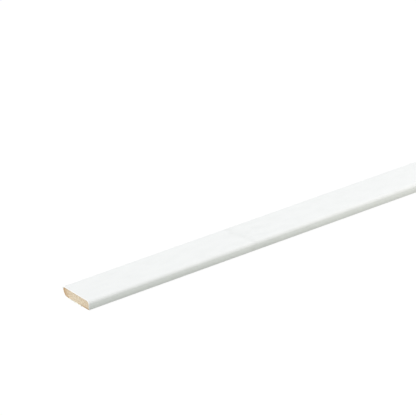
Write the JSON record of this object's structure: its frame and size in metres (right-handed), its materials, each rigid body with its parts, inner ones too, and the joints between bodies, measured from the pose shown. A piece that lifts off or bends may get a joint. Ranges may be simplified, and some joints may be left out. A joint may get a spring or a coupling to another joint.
{
  "type": "self-adhesive skirting board",
  "caption": "Long flat white trim board, rounded along its upper edge and undercut along its lower edge: foil-wrapped MDF with a taped back that sticks along the foot of a wall.",
  "frame": {"origin": "middle of the board's length and width, on the surface that the board lies on, tape side down", "axes": "+X along the length, +Y across the width towards the undercut edge, which meets the floor on a wall, +Z out of the white face"},
  "size_m": [2.4, 0.024, 0.0058],
  "materials": {
    "mdf": "matte",
    "white_foil": "satin",
    "foam_tape": "matte",
    "liner_paper": "satin"
  },
  "bodies": {
    "root": {"mdf_moulding": "mdf", "foil_wrap": "white_foil", "adhesive_tape": "foam_tape", "release_liner": "liner_paper"}
  },
  "joints": []
}
